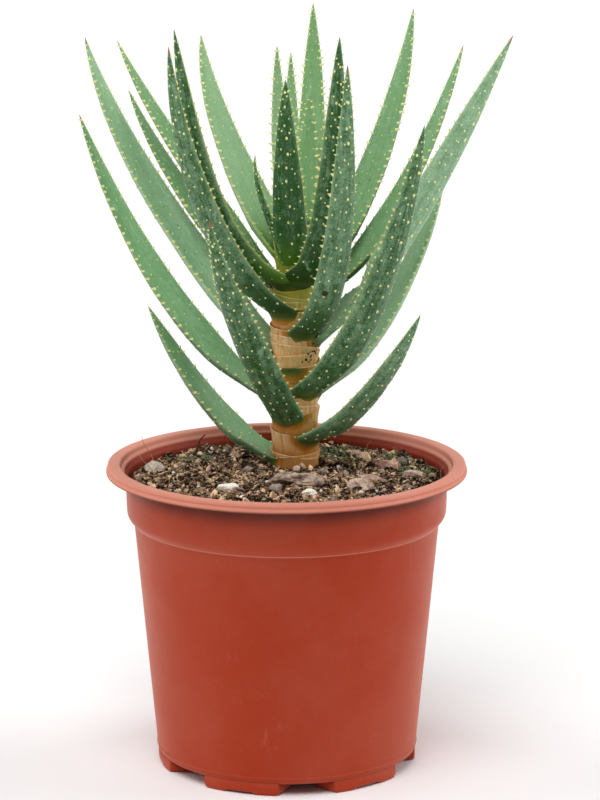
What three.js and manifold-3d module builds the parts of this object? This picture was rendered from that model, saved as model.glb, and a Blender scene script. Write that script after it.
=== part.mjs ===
// Young quiver tree in a nursery pot: a pot on six hollowed feet, gritty soil, a short scarred stem,
// a spiral of thick toothed leaves, and the larger stones that lie on the soil.
// Millimetres, +Z up. The plant is built round the pot's axis with the feet standing on z = 0, and
// the whole is then moved sideways so that the centre of its footprint is the origin.
import * as THREE from "three";
import { mergeVertices } from "three/addons/utils/BufferGeometryUtils.js";
import Module from "manifold-3d";

const wasm = await Module();
wasm.setup();

// Clearance kept between pieces that touch.
const GAP = 0.3;

// Pot.
const POT_HEIGHT = 163;
const RIM_RADIUS = 95;
const LIP_RADIUS = 95.8;
const LIP_DEPTH = 4.8;
const RIM_INNER_RADIUS = 88.2;
const COLLAR_RADIUS = 85.5;
const COLLAR_FOOT_RADIUS = 84.8;
const COLLAR_FOOT_Z = 135;
const WALL_TOP_RADIUS = 80.2;
const WALL_TOP_Z = 126.5;
const HEEL_RADIUS = 69.3;
const HEEL_Z = 9.7;
const FOOT_RADIUS = 68.8;
const WALL = 1.5;
const FLOOR_Z = 6;
const POT_SIDES = 40;

// Feet under the pot's edge.
const FOOT_COUNT = 6;
const FOOT_OUTER_ARC = 35;
const FOOT_INNER_ARC = 47;
const FIRST_FOOT_AZIMUTH = -51;
const FOOT_INNER_RADIUS = 57;
const FOOT_RECESS_ARC = 12;
const FOOT_RECESS = 0.9;
const DRAIN_RADIUS = 5;
const DRAIN_CIRCLE = 46;

// Soil.
const SOIL_EDGE_Z = 153;
const SOIL_CROWN = 6;

// Stem.
const STEM_X = 4.4;
const STEM_Y = 12;
const STEM_BASE_Z = 158;
const STEM_ROOT = 32;
const STEM_RADIUS = 13;
const STEM_NECK_RADIUS = 10.5;
const STEM_BANDS = 8;
const STEM_BAND_HEIGHT = 12.5;
const STEM_STEP = 0.9;
const STEM_SIDES = 18;

// Leaves.
const LEAF_SIDES = 8;
const LEAF_RINGS = 11;
const LEAF_ROOT_RADIUS = 9;
const CROWN_ROOT_RADIUS = 4;
const OUTER_LEAVES = 16;
const LEAF_HANDLE = 0.33;
const KEEL = 0.75;
const CROWN = 0.08;
const LEAVES_AT_SOIL = 2;

// One row per leaf, oldest first: azimuth about the stem (0 is +X, 90 is +Y), height of its root up
// the stem, outward reach, rise, slope at the root, slope at the tip, sideways drift of the tip,
// greatest width, and roll about its own length; degrees and millimetres.
const LEAVES = [
  [162, 4, 74, 78, 24, 58, 0, 20, -12],
  [-36, 16, 71, 75, 30, 58, 0, 23, 0],
  [-117, 24, 85, 122, 56, 71, 0, 22, 0],
  [153, 35, 122, 146, 24, 67, 0, 20, -18],
  [25, 38, 80, 117, 33, 74, 0, 20, 12],
  [-46, 40, 85, 152, 40, 74, 0, 25, 0],
  [150, 56, 122, 166, 46, 72, 0, 24, -14],
  [14, 66, 110, 161, 44, 60, 0, 25, -56],
  [-64, 73, 52, 148, 26, 88, 0, 19, 0],
  [-140, 83, 74, 147, 38, 84, 0, 22, 0],
  [145, 87, 101, 107, 36, 62, 0, 16, -10],
  [27, 88, 92, 132, 32, 70, 0, 17, 12],
  [148, 92, 104, 129, 50, 60, 0, 16, -10],
  [43, 98, 78, 140, 40, 80, 0, 20, 12],
  [-64, 101, 43, 133, 34, 84, 0, 20, 0],
  [-150, 101, 62, 136, 30, 78, 0, 23, 0],
  [-100, 102, 23, 108, 68, 90, 0, 19, 0],
  [131, 108, 73, 116, 50, 82, 0, 23, 0],
  [70, 108, 19, 88, 75, 88, 0, 17, 0],
  [71, 110, 55, 131, 55, 90, 10, 19, 0],
  [-170, 112, 17, 56, 75, 90, 0, 11, 0],
  [98, 112, 66, 105, 45, 88, 0, 14, 0],
  [92, 112, 61, 102, 45, 88, 0, 13, 0],
];

// Stones on the soil: name, x and y from the pot's axis, length, width, height, turn in degrees.
const STONES = [
  ["pumice_round", -70.5, 14.5, 12, 10, 8, 10],
  ["pumice_small", -77.5, -2.5, 5, 4.5, 4.5, 40],
  ["perlite_front_left", -30, -41, 11, 8, 6.5, -15],
  ["perlite_front", 12, -48, 8.5, 6, 5, 12],
  ["perlite_back_left", -28, 32, 5.5, 4.5, 4, 0],
  ["stone_grey_left", -20, -6, 7.5, 5.5, 5, 20],
  ["stone_grey_front", -5.5, -42, 7, 6, 5.5, 30],
  ["stone_angular", 38, -41, 15, 10, 10, 28],
  ["stone_slab", 43.5, -18, 13, 7, 4.5, -20],
  ["stone_pink", 54, 11.5, 13.5, 9, 7, 18],
  ["stone_back_right", 62, 28.5, 6, 5, 5.5, 0],
  ["stone_long", 67, -3, 12, 6, 5.5, -8],
  ["stone_flat", 63, -28, 8, 5, 3.5, 10],
  ["bark_clump", 6, -31, 27, 14, 9, 4],
];
const STONE_SUNK = 0.3;
const STONE_ROUGHNESS = 0.12;

const radians = THREE.MathUtils.degToRad;

// A closed geometry as a manifold-3d solid, and a solid back as a geometry.
function solidOf(geometry) {
  const bare = geometry.clone();
  bare.deleteAttribute("normal");
  bare.deleteAttribute("uv");
  const merged = mergeVertices(bare, 1e-3);
  const vertProperties = merged.attributes.position.array;
  const triVerts = new Uint32Array(merged.index.array);
  return new wasm.Manifold(new wasm.Mesh({ numProp: 3, vertProperties, triVerts }));
}

function geometryOf(solid) {
  const mesh = solid.getMesh();
  const geometry = new THREE.BufferGeometry();
  geometry.setAttribute("position", new THREE.BufferAttribute(mesh.vertProperties, 3));
  geometry.setIndex(new THREE.BufferAttribute(mesh.triVerts, 1));
  geometry.computeVertexNormals();
  return geometry;
}

// The largest body of a solid: a cut may leave a splinter beside it.
function largestBody(solid) {
  const bodies = solid.decompose();
  return bodies.reduce((best, body) => (body.volume() > best.volume() ? body : best));
}

// A solid of revolution about +Z from [radius, z] pairs that run from the axis back to the axis.
function revolve(profile, sides) {
  const points = profile.map(([r, z]) => new THREE.Vector2(r, z));
  return new THREE.LatheGeometry(points, sides).rotateX(Math.PI / 2);
}

// A block between two radii and two heights that spans an arc about +Z.
function sector(inner, outer, innerArc, outerArc, azimuth, low, high) {
  const edge = (arc) => radians(azimuth + arc / 2);
  const shape = new THREE.Shape();
  shape.absarc(0, 0, outer, edge(-outerArc), edge(outerArc), false);
  shape.absarc(0, 0, inner, edge(innerArc), edge(-innerArc), true);
  const options = { depth: high - low, bevelEnabled: false, curveSegments: 5 };
  return new THREE.ExtrudeGeometry(shape, options).translate(0, 0, low);
}

function material(color, roughness) {
  return new THREE.MeshStandardMaterial({ color, roughness, metalness: 0 });
}

const potPlastic = material(0xa0412b, 0.5);
const darkSoil = material(0x3a2a20, 1);
const tanStem = material(0xb0733a, 0.8);
const leafGreen = material(0x5a876e, 0.55);
const paleStone = material(0xc4b6a2, 0.95);
const bark = material(0x80654a, 1);

const plant = new THREE.Group();

function add(name, solid, finish) {
  const mesh = new THREE.Mesh(geometryOf(solid), finish);
  mesh.name = name;
  plant.add(mesh);
}

// Inner radius of the pot's tapered wall at a height.
function potInnerRadius(z) {
  const share = (z - HEEL_Z) / (WALL_TOP_Z - HEEL_Z);
  return HEEL_RADIUS - WALL + share * (WALL_TOP_RADIUS - HEEL_RADIUS);
}

function pot() {
  const top = POT_HEIGHT;
  const lip = top - LIP_DEPTH;
  const body = revolve(
    [
      [0, FLOOR_Z],
      [FOOT_RADIUS - 3, FLOOR_Z],
      [FOOT_RADIUS + 0.2, FLOOR_Z + 0.6],
      [HEEL_RADIUS + 0.3, HEEL_Z],
      [HEEL_RADIUS, HEEL_Z + 0.7],
      [WALL_TOP_RADIUS, WALL_TOP_Z],
      [WALL_TOP_RADIUS + 1.6, WALL_TOP_Z + 1.6],
      [COLLAR_FOOT_RADIUS - 0.6, COLLAR_FOOT_Z - 4],
      [COLLAR_FOOT_RADIUS, COLLAR_FOOT_Z],
      [COLLAR_RADIUS, lip - 1],
      [RIM_INNER_RADIUS + 1.2, lip + 0.6],
      [RIM_INNER_RADIUS + 1.5, top - WALL],
      [RIM_RADIUS - 1, top - WALL],
      [RIM_RADIUS - 0.8, lip],
      [LIP_RADIUS, lip],
      [LIP_RADIUS, lip + 1.4],
      [RIM_RADIUS - 0.3, lip + 2.4],
      [RIM_RADIUS, top - 0.6],
      [RIM_RADIUS - 0.7, top],
      [RIM_INNER_RADIUS, top],
      [RIM_INNER_RADIUS - 0.3, top - 2.8],
      [RIM_INNER_RADIUS - 1.9, top - 3.2],
      [COLLAR_RADIUS - WALL, lip - 1],
      [COLLAR_FOOT_RADIUS - WALL, COLLAR_FOOT_Z],
      [WALL_TOP_RADIUS - WALL, WALL_TOP_Z],
      [potInnerRadius(FLOOR_Z + WALL), FLOOR_Z + WALL],
      [0, FLOOR_Z + WALL],
    ],
    POT_SIDES,
  );
  let solid = solidOf(body);
  for (let i = 0; i < FOOT_COUNT; i += 1) {
    const azimuth = FIRST_FOOT_AZIMUTH + (360 / FOOT_COUNT) * i;
    const foot = sector(
      FOOT_INNER_RADIUS,
      FOOT_RADIUS,
      FOOT_INNER_ARC,
      FOOT_OUTER_ARC,
      azimuth,
      0,
      FLOOR_Z + 0.7,
    );
    const recess = sector(
      FOOT_INNER_RADIUS - 2,
      FOOT_RADIUS + 2,
      FOOT_RECESS_ARC,
      FOOT_RECESS_ARC,
      azimuth,
      -1,
      FOOT_RECESS,
    );
    const drain = new THREE.CylinderGeometry(DRAIN_RADIUS, DRAIN_RADIUS, 4 * WALL, 12);
    drain.rotateX(Math.PI / 2).translate(DRAIN_CIRCLE, 0, FLOOR_Z + WALL / 2);
    drain.rotateZ(radians(azimuth + 180 / FOOT_COUNT));
    solid = solid.add(solidOf(foot)).subtract(solidOf(recess)).subtract(solidOf(drain));
  }
  return solid;
}

// Height of the mounded soil at a place.
function soilHeight(x, y) {
  const share = Math.min(1, Math.hypot(x, y) / (COLLAR_RADIUS - WALL));
  return SOIL_EDGE_Z + SOIL_CROWN * (1 - share * share);
}

function soil() {
  const low = FLOOR_Z + WALL + GAP;
  const profile = [
    [0, low],
    [potInnerRadius(low) - GAP, low],
    [WALL_TOP_RADIUS - WALL - GAP, WALL_TOP_Z],
    [COLLAR_FOOT_RADIUS - WALL - GAP, COLLAR_FOOT_Z],
    [COLLAR_FOOT_RADIUS - WALL - GAP, SOIL_EDGE_Z],
  ];
  for (const r of [66, 48, 30, 0]) profile.push([r, soilHeight(r, 0)]);
  return solidOf(revolve(profile, POT_SIDES));
}

// The stem: a buried root end, a neck, then bands that each widen a little towards their top.
function stem(grow) {
  const profile = [
    [0, -STEM_ROOT - grow],
    [STEM_NECK_RADIUS - 3 + grow, -STEM_ROOT - grow],
    [STEM_NECK_RADIUS + grow, -4],
  ];
  for (let i = 0; i < STEM_BANDS; i += 1) {
    const foot = 6 + i * STEM_BAND_HEIGHT;
    profile.push([STEM_RADIUS - STEM_STEP + grow, foot]);
    profile.push([STEM_RADIUS + grow, foot + STEM_BAND_HEIGHT - 1.5]);
  }
  const top = 6 + STEM_BANDS * STEM_BAND_HEIGHT;
  profile.push([STEM_RADIUS * 0.75 + grow, top + 5], [0, top + 9 + grow]);
  return solidOf(revolve(profile, STEM_SIDES).translate(STEM_X, STEM_Y, STEM_BASE_Z));
}

// A leaf swept along a curve that leaves the stem and bends up: its upper face is nearly flat and its
// underside bulges like a keel. A cone of rings is bent onto the curve.
function leaf(number, grow) {
  const [azimuth, height, reach, rise, rootSlope, tipSlope, drift, width, roll] = LEAVES[number];
  const rootRadius = number < OUTER_LEAVES ? LEAF_ROOT_RADIUS : CROWN_ROOT_RADIUS;
  const turn = radians(azimuth);
  const out = new THREE.Vector3(Math.cos(turn), Math.sin(turn), 0);
  const side = new THREE.Vector3(-Math.sin(turn), Math.cos(turn), 0);
  const up = new THREE.Vector3(0, 0, 1);
  const along = (base, o, s, u) =>
    base.clone().addScaledVector(out, o).addScaledVector(side, s).addScaledVector(up, u);
  const axis = new THREE.Vector3(STEM_X, STEM_Y, STEM_BASE_Z + height);
  const root = along(axis, rootRadius, 0, 0);
  const tip = along(root, reach, drift, rise);
  const handle = LEAF_HANDLE * Math.hypot(reach, rise);
  const [a, b] = [radians(rootSlope), radians(tipSlope)];
  const spine = new THREE.CubicBezierCurve3(
    root,
    along(root, handle * Math.cos(a), 0, handle * Math.sin(a)),
    along(tip, -handle * Math.cos(b), 0, -handle * Math.sin(b)),
    tip,
  );
  const geometry = new THREE.CylinderGeometry(0, 1, 1, LEAF_SIDES, LEAF_RINGS);
  const position = geometry.attributes.position;
  for (let i = 0; i < position.count; i += 1) {
    const t = THREE.MathUtils.clamp(position.getY(i) + 0.5, 0, 1);
    const cone = Math.max(1 - t, 1e-6);
    const c = position.getX(i) / cone;
    const s = -position.getZ(i) / cone;
    const half = (width / 2) * Math.pow(1 - Math.pow(t, 2.2), 0.85) + (t < 1 ? grow : 0);
    const tangent = spine.getTangent(t);
    const normal = new THREE.Vector3().crossVectors(tangent, side).negate().normalize();
    if (normal.z < 0 || (normal.z < 0.05 && normal.dot(out) > 0)) normal.negate();
    const across = side.clone().multiplyScalar(Math.cos(radians(roll)));
    across.addScaledVector(normal, Math.sin(radians(roll)));
    const face = new THREE.Vector3().crossVectors(tangent, across).normalize();
    if (face.dot(normal) < 0) face.negate();
    const lift = s > 0 ? s * (half * CROWN + grow) : s * (half * KEEL + grow);
    const point = spine.getPoint(t).addScaledVector(across, c * half).addScaledVector(face, lift);
    position.setXYZ(i, point.x, point.y, point.z);
  }
  return solidOf(geometry);
}

// A rough stone: a faceted ball pushed in and out by a fixed wave, squashed and set into the soil.
function stone([name, x, y, length, width, height, turn], grow) {
  const geometry = new THREE.IcosahedronGeometry(1, 1);
  const position = geometry.attributes.position;
  const phase = x + 2 * y;
  for (let i = 0; i < position.count; i += 1) {
    const p = new THREE.Vector3().fromBufferAttribute(position, i);
    const wave = Math.sin(5 * p.x + phase) + Math.cos(4 * p.y - phase) + Math.sin(6 * p.z + 2 * phase);
    p.multiplyScalar(1 + (STONE_ROUGHNESS * wave) / 3);
    p.multiply(new THREE.Vector3(length / 2 + grow, width / 2 + grow, height / 2 + grow));
    position.setXYZ(i, p.x, p.y, p.z);
  }
  geometry.rotateZ(radians(turn));
  geometry.translate(x, y, soilHeight(x, y) + height * (0.5 - STONE_SUNK));
  return solidOf(geometry);
}

const grownStem = stem(GAP);
let ground = soil().subtract(grownStem);
for (const row of STONES) ground = ground.subtract(stone(row, GAP));
for (let i = 0; i < LEAVES_AT_SOIL; i += 1) ground = ground.subtract(leaf(i, GAP));

add("pot", pot(), potPlastic);
add("soil", largestBody(ground), darkSoil);
add("stem", stem(0), tanStem);
const finished = [];
for (let i = 0; i < LEAVES.length; i += 1) {
  let solid = leaf(i, 0).subtract(grownStem);
  for (const older of finished) solid = solid.subtract(older);
  finished.push(leaf(i, GAP));
  add("leaf_" + String(i + 1).padStart(2, "0"), largestBody(solid), leafGreen);
}
for (const row of STONES) add(row[0], stone(row, 0), row[0] === "bark_clump" ? bark : paleStone);

const footprint = new THREE.Box3().setFromObject(plant, true);
const centre = footprint.getCenter(new THREE.Vector3());
plant.position.set(-centre.x, -centre.y, 0);

const group = new THREE.Group();
group.add(plant);
export default group;
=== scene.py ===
"""Young quiver tree in a nursery pot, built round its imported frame."""

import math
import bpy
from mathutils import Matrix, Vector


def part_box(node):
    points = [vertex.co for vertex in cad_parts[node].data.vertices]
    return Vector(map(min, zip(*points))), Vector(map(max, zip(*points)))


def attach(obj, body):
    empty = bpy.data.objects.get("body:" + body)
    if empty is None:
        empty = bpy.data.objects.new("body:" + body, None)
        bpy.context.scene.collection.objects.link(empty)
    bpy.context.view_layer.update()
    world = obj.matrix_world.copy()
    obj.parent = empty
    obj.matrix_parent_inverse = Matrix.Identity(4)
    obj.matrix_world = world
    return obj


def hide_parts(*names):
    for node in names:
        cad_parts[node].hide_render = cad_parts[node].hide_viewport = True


bl_info = {
    "name": "Potted Quiver Tree",
    "version": (1, 0, 0),
    "blender": (4, 5, 0),
    "location": "3D View > Sidebar > Quiver Tree",
    "description": "Builds a young quiver tree, its gritty soil and its nursery pot",
    "category": "Object",
}

import bmesh
import bpy
import numpy as np
from mathutils import Matrix, Vector, noise

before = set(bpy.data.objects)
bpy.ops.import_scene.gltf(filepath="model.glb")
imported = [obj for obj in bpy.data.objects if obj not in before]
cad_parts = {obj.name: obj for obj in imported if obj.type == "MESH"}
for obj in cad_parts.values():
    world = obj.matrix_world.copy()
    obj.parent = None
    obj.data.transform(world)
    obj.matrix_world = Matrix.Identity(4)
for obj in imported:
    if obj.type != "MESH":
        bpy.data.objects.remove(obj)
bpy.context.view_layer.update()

MM = 0.001
BODY = "root"

# Where things stand, from the frame: the pot's axis, rim and lip, and the stem's axis and foot.
pot_low, pot_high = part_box("pot")
stem_low, stem_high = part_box("stem")
POT_X = (pot_low[0] + pot_high[0]) / 2
POT_Y = (pot_low[1] + pot_high[1]) / 2
RIM_Z = pot_high[2]
LIP_RADIUS = (pot_high[0] - pot_low[0]) / 2
STEM_X = (stem_low[0] + stem_high[0]) / 2
STEM_Y = (stem_low[1] + stem_high[1]) / 2
STEM_BASE_Z = RIM_Z - 5 * MM
# The soil's surface meets the wall here, and rises by its crown towards the pot's axis.
SOIL_EDGE_Z = RIM_Z - 10 * MM
SOIL_CROWN = 6 * MM
SOIL_RADIUS = 84 * MM

# One row per leaf, oldest first, as in the frame: azimuth about the stem, height of its root
# up the stem, outward reach, rise, slope at the root, slope at the tip, sideways drift of the
# tip, greatest width, and roll about its own length; degrees and millimetres.
LEAVES = [
    (162, 4, 74, 78, 24, 58, 0, 20, -12),
    (-36, 16, 71, 75, 30, 58, 0, 23, 0),
    (-117, 24, 85, 122, 56, 71, 0, 22, 0),
    (153, 35, 122, 146, 24, 67, 0, 20, -18),
    (25, 38, 80, 117, 33, 74, 0, 20, 12),
    (-46, 40, 85, 152, 40, 74, 0, 25, 0),
    (150, 56, 122, 166, 46, 72, 0, 24, -14),
    (14, 66, 110, 161, 44, 60, 0, 25, -56),
    (-64, 73, 52, 148, 26, 88, 0, 19, 0),
    (-140, 83, 74, 147, 38, 84, 0, 22, 0),
    (145, 87, 101, 107, 36, 62, 0, 16, -10),
    (27, 88, 92, 132, 32, 70, 0, 17, 12),
    (148, 92, 104, 129, 50, 60, 0, 16, -10),
    (43, 98, 78, 140, 40, 80, 0, 20, 12),
    (-64, 101, 43, 133, 34, 84, 0, 20, 0),
    (-150, 101, 62, 136, 30, 78, 0, 23, 0),
    (-100, 102, 23, 108, 68, 90, 0, 19, 0),
    (131, 108, 73, 116, 50, 82, 0, 23, 0),
    (70, 108, 19, 88, 75, 88, 0, 17, 0),
    (71, 110, 55, 131, 55, 90, 10, 19, 0),
    (-170, 112, 17, 56, 75, 90, 0, 11, 0),
    (98, 112, 66, 105, 45, 88, 0, 14, 0),
    (92, 112, 61, 102, 45, 88, 0, 13, 0),
]
# How heavily each leaf is coated with pale wax, oldest first.
WAX = (
    0.42, 0.38, 0.12, 0.38, 1.20, 0.17, 1.20, 1.05, 0.34, 0.20, 0.38, 0.60,
    0.42, 0.52, 0.02, 0.10, -0.12, 1.20, 0.50, 0.50, 0.12, 1.20, 1.20,
)
SPEAR_WAX = 0.2
# Spears still folded in the crown's centre, in the same order of measures.
SPEARS = [
    (-30, 112, 2, 30, 84, 90, 0, 6, 0),
    (120, 112, 3, 28, 84, 90, 0, 6, 0),
    (215, 112, 4, 26, 80, 90, 0, 6, 0),
]
# Leaves from this one on stand inside the crown, nearer the stem's axis.
CROWN_LEAF = 17
# Sheaths from this leaf on are lower behind the stem than at their blade; the others are higher.
DROPPED_SHEATH = 11
SHEATH_RISE = 3 * MM
SHEATH_DROP = -5 * MM
# The leaf with a dried wound near its root: where along it and across it, and how wide.
SCARRED_LEAF = 9
SCAR_PLACE = (0.29, -0.5)
SCAR_RADIUS = 1.7 * MM
# Leaves that clasp more of the stem than the others, by number.
WIDE_CLASP = {1: 1.9, 10: 1.6, 15: 2.1, 16: 1.7}
# The skin turns fresher over this many leaves after this one.
OLDEST_YOUNG = 8
YOUNG_SPAN = 12
# Leaves whose tips have dried to a reddish brown, by number.
DRY_TIPS = {3, 4, 7, 8, 9, 10, 12}

# Stones on the soil that stand for a node, and the kind of stone.
STONES = [
    ("pumice_round", "pumice"),
    ("pumice_small", "grey"),
    ("perlite_front_left", "perlite"),
    ("perlite_front", "perlite"),
    ("perlite_back_left", "perlite"),
    ("stone_grey_left", "grey"),
    ("stone_grey_front", "grey"),
    ("stone_angular", "beige"),
    ("stone_slab", "beige"),
    ("stone_pink", "pink"),
    ("stone_back_right", "grey"),
    ("stone_long", "beige"),
    ("stone_flat", "grey"),
    ("bark_clump", "bark"),
]


# ---------------------------------------------------------------- settings


def length(name, description, default):
    return bpy.props.FloatProperty(
        name=name, description=description, default=default, min=0, unit="LENGTH", precision=4
    )


def colour(name, description, default):
    return bpy.props.FloatVectorProperty(
        name=name, description=description, default=default, subtype="COLOR", size=3, min=0, max=1
    )


class PotSettings(bpy.types.PropertyGroup):
    wall: length("Wall", "Thickness of the moulded wall", 1.5 * MM)
    lip_depth: length("Lip depth", "Height of the rolled lip", 4.8 * MM)
    collar_depth: length("Collar depth", "From the rim down to the collar's foot", 28 * MM)
    plastic: colour("Plastic", "Colour of the moulded plastic", (0.40, 0.041, 0.012))
    # Near-black colour of the painted shade inside the pot and under the lip, and of grime in the
    # grain.
    painted_shade_and_grime: colour("Painted shade and grime", "Colour of the shaded, grimy plastic", (0.05, 0.004, 0.0015))
    # Pale scuffs and dust; also painted on the lip as a highlight and at a slant as a sheen.
    dust: colour("Scuffs, dust and painted sheen", "Colour of pale scuffs and dust", (0.80, 0.36, 0.26))


class StemSettings(bpy.types.PropertyGroup):
    tan: colour("Tan", "Colour of the dry leaf bases", (0.66, 0.33, 0.085))
    pale: colour("Pale", "Colour of the bleached bands", (0.88, 0.62, 0.32))
    orange: colour("Orange", "Colour of the bases close under a blade", (0.52, 0.19, 0.018))
    # Also painted as shade low on each sheath.
    shade: colour("Shade", "Colour of cracks and dark strokes", (0.20, 0.065, 0.012))
    olive: colour("Olive", "Where the base turns green", (0.15, 0.15, 0.015))
    green: colour("Green", "Green of the base at the blade", (0.036, 0.090, 0.018))
    paper: colour("Paper", "Colour of the papery rims", (0.84, 0.68, 0.50))
    young: colour("Young", "Colour of the fresh leaf bases under the crown", (0.34, 0.38, 0.03))


class LeafSettings(bpy.types.PropertyGroup):
    skin: colour("Skin", "Green under the wax", (0.021, 0.089, 0.015))
    # Deep green of dark spots, also painted as shade near the roots of the inner leaves.
    deep_green_and_root_shade: colour("Deep green", "Dark spots, and painted shade near the root", (0.010, 0.042, 0.006))
    bloom: colour("Bloom", "Pale waxy bloom", (0.34, 0.55, 0.33))
    inner: colour("Upper face", "Green of the upper face", (0.15, 0.33, 0.13))
    fresh: colour("Fresh", "Yellow-green of the youngest tissue", (0.20, 0.40, 0.05))
    margin: colour("Margin", "Horny edge of the leaf", (0.50, 0.50, 0.16))
    root: colour("Root", "Olive where the blade leaves its sheath", (0.15, 0.14, 0.02))
    thorn: colour("Thorns", "Cream-yellow of teeth and tubercles", (0.86, 0.90, 0.38))
    thorn_tip: colour("Thorn tips", "Orange of the teeth's points", (0.78, 0.45, 0.11))
    dry_tip: colour("Dry tips", "Reddish brown of dried leaf tips", (0.36, 0.11, 0.05))
    scar: colour("Scar", "Dark brown of an old wound", (0.030, 0.018, 0.006))
    tooth: length("Tooth length", "Length of a marginal tooth", 1.9 * MM)
    wart: length("Tubercle radius", "Radius of a large tubercle", 0.62 * MM)


class SoilSettings(bpy.types.PropertyGroup):
    dark: colour("Dark", "Colour of damp peat", (0.018, 0.008, 0.004))
    light: colour("Light", "Colour of dry crumbs", (0.95, 0.64, 0.40))
    crumbs: bpy.props.IntProperty(
        name="Crumbs", description="Number of loose crumbs", default=7600, min=0
    )
    grit: bpy.props.IntProperty(
        name="Grit", description="Number of small pale grains", default=210, min=0
    )


class StageSettings(bpy.types.PropertyGroup):
    floor: colour("Floor", "Colour of the plain floor", (0.93, 0.93, 0.93))
    distance: length("Distance", "From the camera to the point it looks at", 1.75)
    pitch: bpy.props.FloatProperty(
        name="Pitch",
        description="How far the camera looks down",
        default=math.radians(12.35),
        subtype="ANGLE",
    )
    lens: bpy.props.FloatProperty(
        name="Lens", description="Focal length in millimetres", default=148.95, min=1
    )
    aside: length("Aside", "Camera's shift to the right of the pot's axis", 7.1 * MM)
    above_rim: length("Above rim", "Height above the rim that the camera looks at", 33.4 * MM)


# ---------------------------------------------------------------- shader writing


class Signal:
    """A value socket that can be used in arithmetic; each operator adds one Math node."""

    def __init__(self, finish, socket):
        self.finish = finish
        self.socket = socket

    def _maths(self, operation, first, second):
        return self.finish.node(
            "ShaderNodeMath", {"operation": operation}, {0: first, 1: second}
        )

    def __add__(self, other):
        return self._maths("ADD", self, other)

    def __radd__(self, other):
        return self._maths("ADD", other, self)

    def __sub__(self, other):
        return self._maths("SUBTRACT", self, other)

    def __rsub__(self, other):
        return self._maths("SUBTRACT", other, self)

    def __mul__(self, other):
        return self._maths("MULTIPLY", self, other)

    def __rmul__(self, other):
        return self._maths("MULTIPLY", other, self)

    def between(self, low, high):
        """0 below low, 1 above high, eased in between."""
        return self.finish.node(
            "ShaderNodeMapRange",
            {"interpolation_type": "SMOOTHSTEP"},
            {"Value": self, "From Min": low, "From Max": high},
        )


class Finish:
    """A material, with short ways to add the nodes that paint it."""

    def __init__(self, name, roughness=0.5, specular=0.5, **constants):
        self.material = bpy.data.materials.new(name)
        self.material.use_nodes = True
        self.tree = self.material.node_tree
        self.shader = self.tree.nodes["Principled BSDF"]
        self.shader.inputs["Roughness"].default_value = roughness
        self.shader.inputs["Specular IOR Level"].default_value = specular
        for socket, value in constants.items():
            self.shader.inputs[socket.replace("_", " ")].default_value = value

    def feed(self, socket, value):
        """Links a signal to a socket, or sets a number, a vector or a colour on it."""
        if isinstance(value, Signal):
            self.tree.links.new(value.socket, socket)
        elif isinstance(value, (int, float)):
            socket.default_value = value
        else:
            values = tuple(value)
            missing = len(socket.default_value) - len(values)
            socket.default_value = values + (1.0,) * missing

    def node(self, kind, settings=None, inputs=None, output=0):
        """Adds a node: its settings are set first, then its sockets are filled or linked."""
        made = self.tree.nodes.new(kind)
        for name, value in (settings or {}).items():
            setattr(made, name, value)
        for key, value in (inputs or {}).items():
            self.feed(made.inputs[key], value)
        return Signal(self, made.outputs[output])

    def attribute(self, name):
        """A value that the mesh holds at each of its points."""
        return self.node("ShaderNodeAttribute", {"attribute_name": name}, output=2)

    def place(self):
        """Object coordinates."""
        return self.node("ShaderNodeTexCoord", output=3)

    def stretched(self, x, y, z):
        """Object coordinates stretched along the axes."""
        return self.node(
            "ShaderNodeVectorMath", {"operation": "MULTIPLY"}, {0: self.place(), 1: (x, y, z)}
        )

    def speckle(self, scale, detail=3.0, roughness=0.55, vector=None):
        """Cloudy noise about 0.5; the larger the scale, the finer it is."""
        inputs = {
            "Vector": vector or self.place(),
            "Scale": scale,
            "Detail": detail,
            "Roughness": roughness,
        }
        return self.node("ShaderNodeTexNoise", None, inputs)

    def mix(self, factor, first, second):
        return self.node(
            "ShaderNodeMix", {"data_type": "RGBA"}, {0: factor, 6: first, 7: second}, output=2
        )

    def paint(self, socket, signal):
        self.feed(self.shader.inputs[socket], signal)

    def bump(self, height, distance, strength=1.0):
        inputs = {"Height": height, "Distance": distance, "Strength": strength}
        self.paint("Normal", self.node("ShaderNodeBump", None, inputs))


# ---------------------------------------------------------------- mesh helpers


def smoothstep(low, high, value):
    """0 below low, 1 above high, eased in between."""
    share = np.clip((np.asarray(value, float) - low) / (high - low), 0, 1)
    return share * share * (3 - 2 * share)


class Shape:
    """Vertices, faces and per-vertex values gathered from several closed bodies."""

    def __init__(self):
        self.points = []
        self.faces = []
        self.values = []
        self.finishes = []
        self.count = 0

    def add(self, points, faces, finish=0, **values):
        points = np.asarray(points, float).reshape(-1, 3)
        self.points.append(points)
        self.finishes.extend([finish] * len(faces))
        self.faces.extend((np.asarray(face) + self.count).tolist() for face in faces)
        self.values.append((len(points), values))
        self.count += len(points)

    def piece(self, name, finishes, smooth=True):
        """Makes the Blender object, with its values as point attributes, riding on the body."""
        mesh = bpy.data.meshes.new(name)
        mesh.from_pydata(np.concatenate(self.points), [], self.faces)
        keys = sorted({key for _, values in self.values for key in values})
        for key in keys:
            column = [
                np.broadcast_to(np.asarray(values.get(key, 0.0), float), size)
                for size, values in self.values
            ]
            layer = mesh.attributes.new(key, "FLOAT", "POINT")
            layer.data.foreach_set("value", np.concatenate(column).astype(np.float32))
        for finish in finishes:
            mesh.materials.append(finish.material)
        mesh.polygons.foreach_set("material_index", self.finishes)
        made = bpy.data.objects.new(name, mesh)
        bpy.context.collection.objects.link(made)
        face_out(mesh)
        if smooth:
            mesh.shade_smooth()
        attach(made, BODY)
        return made


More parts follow.
